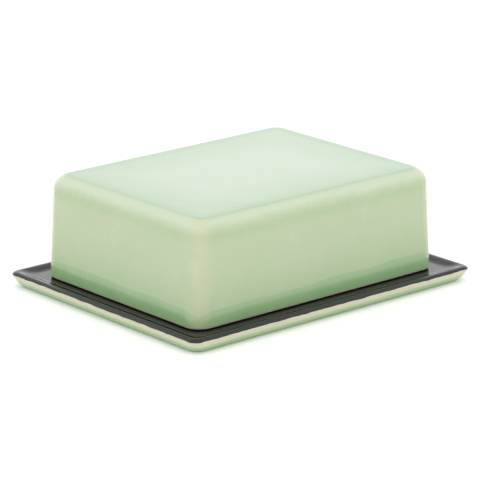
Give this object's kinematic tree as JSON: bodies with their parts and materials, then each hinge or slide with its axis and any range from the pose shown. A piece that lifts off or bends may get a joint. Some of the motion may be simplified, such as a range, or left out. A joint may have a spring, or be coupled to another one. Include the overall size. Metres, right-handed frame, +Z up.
{
  "type": "butter dish",
  "caption": "Low rectangular covered dish: a deep box lid with rounded edges, open below, stands on a shallow tray with a sloping rim and a foot ring.",
  "frame": {"origin": "under the middle of the tray, on the table", "axes": "+X along the length, +Y across the width, +Z up, the way the lid lifts"},
  "size_m": [0.1644, 0.1314, 0.0533],
  "materials": {
    "charcoal_glaze": "glossy",
    "mint_glaze": "glossy"
  },
  "bodies": {
    "tray": {"tray": "charcoal_glaze"},
    "lid": {"lid": "mint_glaze"}
  },
  "joints": [
    {"name": "lid_lift", "type": "slide", "parent": "tray", "child": "lid", "axis": [0, 0, 1], "range_m": [0, 0.1]}
  ]
}
